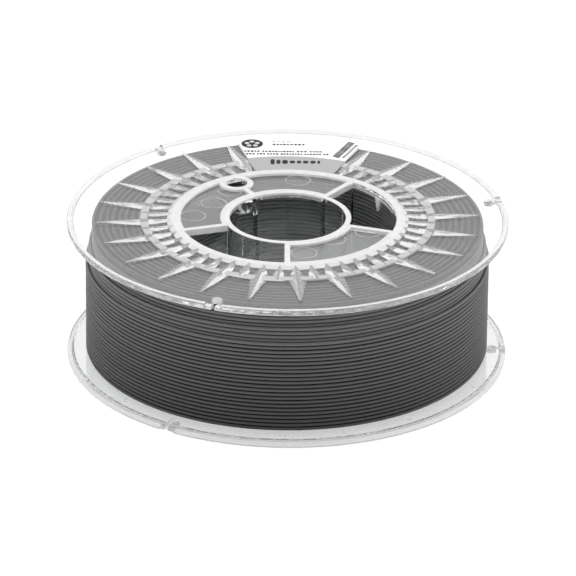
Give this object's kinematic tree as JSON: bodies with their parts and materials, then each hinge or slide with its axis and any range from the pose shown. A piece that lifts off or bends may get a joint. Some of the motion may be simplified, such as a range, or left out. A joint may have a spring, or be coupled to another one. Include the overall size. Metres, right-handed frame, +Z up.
{
  "type": "filament spool",
  "caption": "Clear flanged spool with a ribbed hub and a plain centre bore, wound full of dark grey filament, with a printed label on its upper flange.",
  "frame": {"origin": "centre of the lower rim's plane, on the bore axis, where the spool rests", "axes": "+Z up along the bore axis, +X right and -Y towards the viewer of the label side"},
  "size_m": [0.2, 0.2, 0.067],
  "materials": {
    "clear_plastic": "clear moulded, polished",
    "filament": "matt extruded",
    "label": "printed white film"
  },
  "bodies": {
    "root": {"lower_flange": "clear_plastic", "lower_rim": "clear_plastic", "lower_rays": "clear_plastic", "lower_prism_ring": "clear_plastic", "lower_hub_drum": "clear_plastic", "lower_bore_sleeve": "clear_plastic", "lower_ribs": "clear_plastic", "lower_pocket_panels": "clear_plastic", "lower_drive_boss": "clear_plastic", "upper_flange": "clear_plastic", "upper_rim": "clear_plastic", "upper_rays": "clear_plastic", "upper_prism_ring": "clear_plastic", "upper_hub_drum": "clear_plastic", "upper_bore_sleeve": "clear_plastic", "upper_ribs": "clear_plastic", "upper_pocket_panels": "clear_plastic", "upper_drive_boss": "clear_plastic", "upper_strand_anchor": "clear_plastic", "filament_winding": "filament", "label": "label"}
  },
  "joints": []
}
